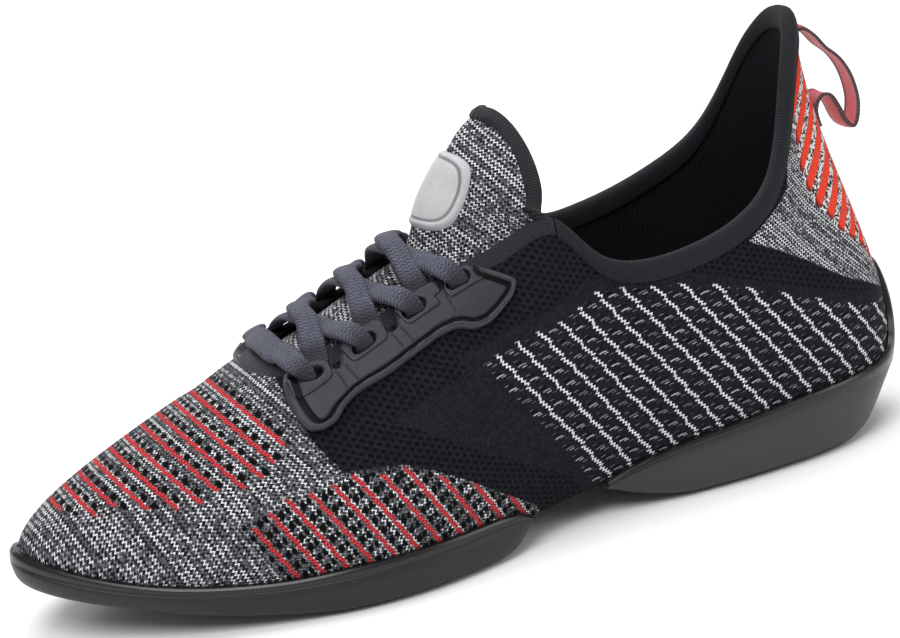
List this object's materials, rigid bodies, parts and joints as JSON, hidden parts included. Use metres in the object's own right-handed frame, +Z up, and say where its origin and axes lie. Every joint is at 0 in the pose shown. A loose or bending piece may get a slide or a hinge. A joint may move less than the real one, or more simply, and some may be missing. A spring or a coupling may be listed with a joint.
{
  "type": "dance sneaker",
  "caption": "Low split-sole dance sneaker with a knit upper, hollow to the toe, high heel tab, moulded lace plates, flat laces, tongue and heel pull loop.",
  "frame": {"origin": "middle of the shoe's box, on the ground under the arch", "axes": "+X from toe to heel, +Y to the inner (medial) side, +Z up"},
  "size_m": [0.2582, 0.0912, 0.1201],
  "materials": {
    "upper": "knit, black with grey, white and red yarn",
    "bottom_board": "woven sole board, black",
    "insole": "black mesh over foam",
    "outsole_forefoot": "satin black",
    "outsole_heel": "satin black",
    "collar_binding": "ribbed tape",
    "throat_band": "elastic band",
    "tongue": "grey, black and white knit",
    "eyestay_outer": "satin moulded",
    "eyestay_inner": "satin moulded",
    "lace": "flat woven",
    "heel_pull": "woven ribbon, red"
  },
  "bodies": {
    "root": {"upper": "upper", "bottom_board": "bottom_board", "insole": "insole", "outsole_forefoot": "outsole_forefoot", "outsole_heel": "outsole_heel", "collar_binding": "collar_binding", "throat_band": "throat_band", "tongue": "tongue", "eyestay_outer": "eyestay_outer", "eyestay_inner": "eyestay_inner", "lace_bar": "lace", "lace_cross_1": "lace", "lace_cross_2": "lace", "lace_cross_3": "lace", "heel_pull": "heel_pull"}
  },
  "joints": []
}
